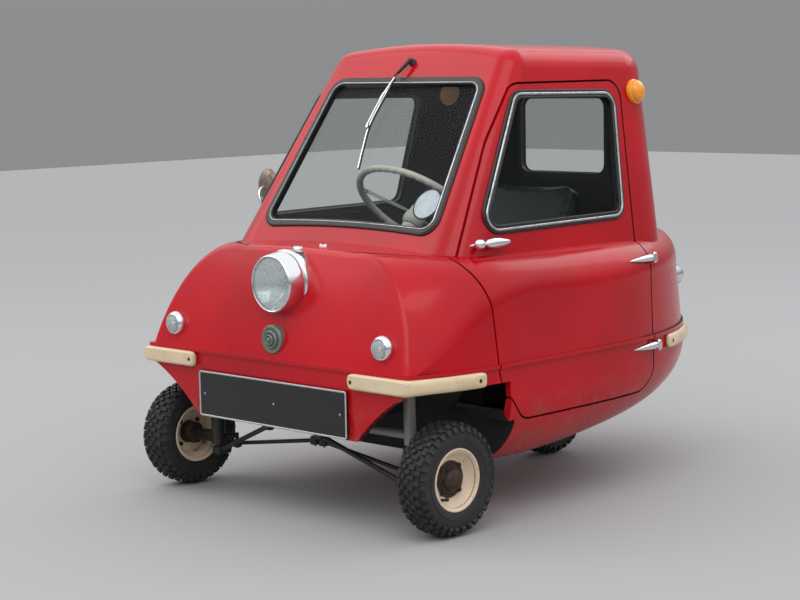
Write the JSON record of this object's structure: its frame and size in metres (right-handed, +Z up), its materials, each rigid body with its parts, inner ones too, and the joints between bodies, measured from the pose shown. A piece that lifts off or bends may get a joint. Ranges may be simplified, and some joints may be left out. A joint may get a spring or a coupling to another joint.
{
  "type": "three-wheeled microcar",
  "caption": "Tiny enclosed three-wheeled car with a moulded two-part body, one rear-hinged door, steered front wheels and a trailing rear wheel.",
  "frame": {"origin": "on the ground, under the middle of the overall length and width", "axes": "+Y towards the tail, so the nose faces -Y; +X towards the car's left, the door side; +Z up"},
  "size_m": [0.9944, 1.3718, 1.0852],
  "materials": {
    "red_shell": "high gloss, moulded and painted",
    "black_rubber": "satin",
    "clear_pane": "clear",
    "chrome_trim": "polished, lightly weathered",
    "lamp_glass": "fluted",
    "cream_bumper": "aged ivory",
    "black_plate": "gloss black with a silver edge",
    "red_lens": "moulded lens",
    "amber_lens": "moulded lens",
    "wiper_metal": "satin",
    "black_steel": "worn satin black",
    "grey_steel": "dusty grey",
    "wheel_grip": "off-white",
    "tyre_rubber": "dusty matte",
    "cream_rim": "cream with rust",
    "dark_vinyl": "dark green vinyl",
    "seat_shell": "satin",
    "cast_engine": "cast"
  },
  "bodies": {
    "root": {"lower_shell": "red_shell", "upper_shell": "red_shell", "fixed_window_seals": "black_rubber", "windscreen_glass": "clear_pane", "side_and_rear_glass": "clear_pane", "headlamp_shell": "chrome_trim", "side_lamps": "chrome_trim", "hinge_brackets": "chrome_trim", "rear_grab_handle": "chrome_trim", "horn_grille": "chrome_trim", "wing_mirror": "chrome_trim", "headlamp_lens": "lamp_glass", "side_lamp_lenses": "lamp_glass", "bumpers": "cream_bumper", "number_plates": "black_plate", "rear_lamps": "red_lens", "rear_indicators": "amber_lens", "wiper": "wiper_metal", "front_crossbeam": "black_steel", "radius_rods": "black_steel", "rear_fork": "black_steel", "pedals": "black_steel", "front_struts": "grey_steel", "seat_cushion": "dark_vinyl", "seat_back": "dark_vinyl", "seat_base": "seat_shell", "engine_block": "cast_engine"},
    "door": {"door_panel": "red_shell", "door_window_seal": "black_rubber", "door_window_glass": "clear_pane", "door_handle": "chrome_trim", "hinge_straps": "chrome_trim"},
    "knuckle_left": {"knuckle_left": "black_steel"},
    "knuckle_right": {"knuckle_right": "black_steel"},
    "wheel_front_left": {"tyre_front_left": "tyre_rubber", "rim_front_left": "cream_rim"},
    "wheel_front_right": {"tyre_front_right": "tyre_rubber", "rim_front_right": "cream_rim"},
    "wheel_rear": {"tyre_rear": "tyre_rubber", "rim_rear": "cream_rim"},
    "tie_rod_left": {"tie_rod_left": "black_steel"},
    "tie_rod_right": {"tie_rod_right": "black_steel"},
    "steering": {"steering_wheel": "wheel_grip", "steering_column": "grey_steel"}
  },
  "joints": [
    {"name": "steer_left", "type": "hinge", "parent": "root", "child": "knuckle_left", "pos_m": [0.335, -0.554, 0.2], "axis": [0, 0, 1], "range_deg": [-20, 20]},
    {"name": "steer_right", "type": "hinge", "parent": "root", "child": "knuckle_right", "pos_m": [-0.335, -0.554, 0.2], "axis": [0, 0, 1], "range_deg": [-21, 21]},
    {"name": "column_turn", "type": "hinge", "parent": "root", "child": "steering", "pos_m": [0, -0.17, 0.68], "axis": [0, 0.6547, 0.7559], "range_deg": [-12, 12]},
    {"name": "tie_left_pin", "type": "hinge", "parent": "knuckle_left", "child": "tie_rod_left", "pos_m": [0.315, -0.51, 0.108], "axis": [0, 0, 1], "range_deg": [-22, 22]},
    {"name": "tie_right_pin", "type": "hinge", "parent": "knuckle_right", "child": "tie_rod_right", "pos_m": [-0.315, -0.51, 0.108], "axis": [0, 0, 1], "range_deg": [-22, 22]},
    {"name": "wheel_left_spin", "type": "hinge", "parent": "knuckle_left", "child": "wheel_front_left", "pos_m": [0.446, -0.554, 0.128], "axis": [1, 0, 0], "continuous": true},
    {"name": "wheel_right_spin", "type": "hinge", "parent": "knuckle_right", "child": "wheel_front_right", "pos_m": [-0.446, -0.554, 0.128], "axis": [1, 0, 0], "continuous": true},
    {"name": "wheel_rear_spin", "type": "hinge", "parent": "root", "child": "wheel_rear", "pos_m": [0, 0.3, 0.128], "axis": [1, 0, 0], "continuous": true},
    {"name": "door_swing", "type": "hinge", "parent": "root", "child": "door", "pos_m": [0.47, 0.18, 0.345], "axis": [-0.0606, 0, 0.9982], "range_deg": [0, 75]}
  ],
  "couplings": [
    {"joint": "steer_right", "follows": "steer_left", "ratio": 1},
    {"joint": "column_turn", "follows": "steer_left", "ratio": 0.58},
    {"joint": "tie_left_pin", "follows": "steer_left", "ratio": -1.09},
    {"joint": "tie_right_pin", "follows": "steer_left", "ratio": -1.09}
  ]
}
